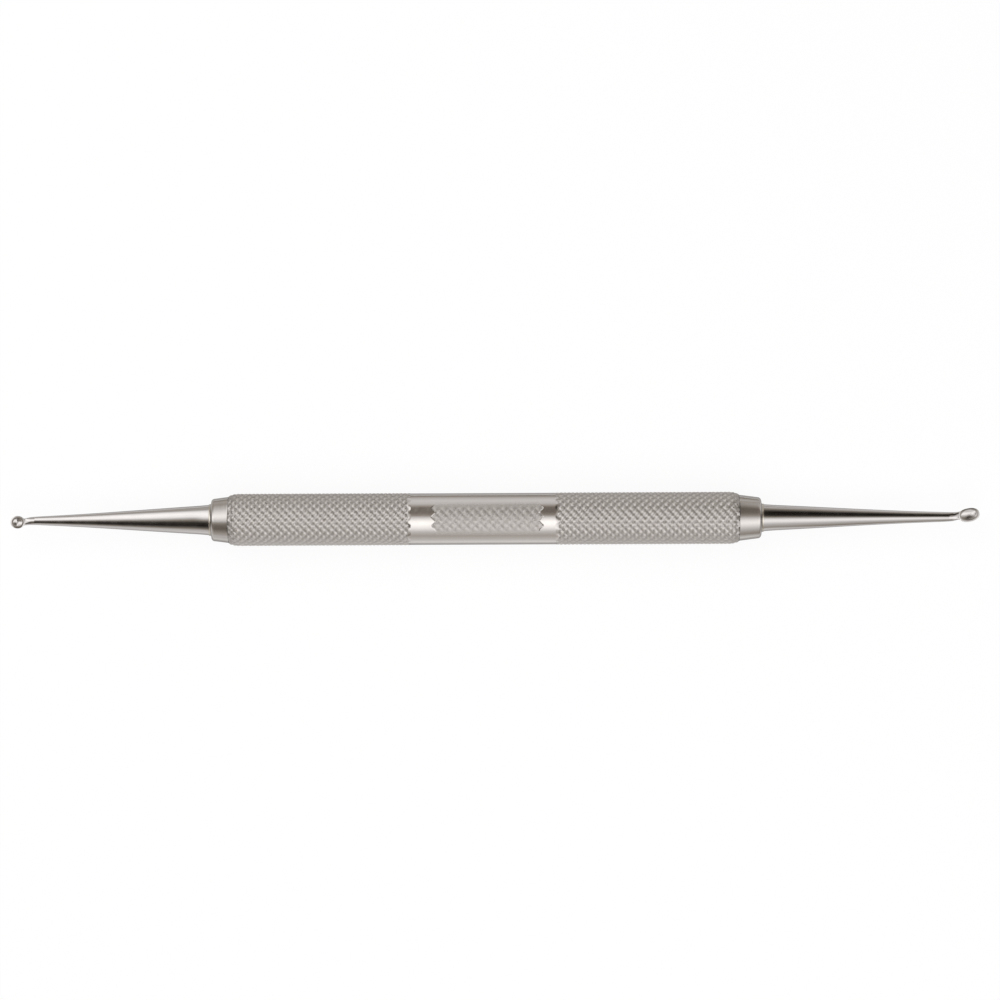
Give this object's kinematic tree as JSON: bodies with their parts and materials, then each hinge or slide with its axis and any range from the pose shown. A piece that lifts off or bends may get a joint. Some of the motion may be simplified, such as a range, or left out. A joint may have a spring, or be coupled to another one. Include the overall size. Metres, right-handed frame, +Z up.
{
  "type": "ingrown toenail cleaner",
  "caption": "Double ended ingrown toenail cleaner: knurled hollow steel handle with a forged round spoon at one end and a forged oval spoon at the other.",
  "frame": {"origin": "bottom centre of the whole tool's box: on the surface it lies on, halfway along its length", "axes": "+X along the tool towards the oval spoon, +Z up, which is the way both spoons open, +Y across the tool"},
  "size_m": [0.15, 0.0082, 0.0081],
  "materials": {
    "grip_steel": "bare stainless steel, satin, diamond knurled",
    "collar_steel": "bare stainless steel, fine turned and half polished",
    "polished_steel": "bare stainless steel, mirror polished",
    "braze_alloy": "silver braze, polished over"
  },
  "bodies": {
    "root": {"handle_tube": "grip_steel", "round_end_ferrule": "collar_steel", "oval_end_ferrule": "collar_steel", "round_spoon_tip": "polished_steel", "oval_spoon_tip": "polished_steel", "round_end_braze_ring": "braze_alloy", "oval_end_braze_ring": "braze_alloy"}
  },
  "joints": []
}
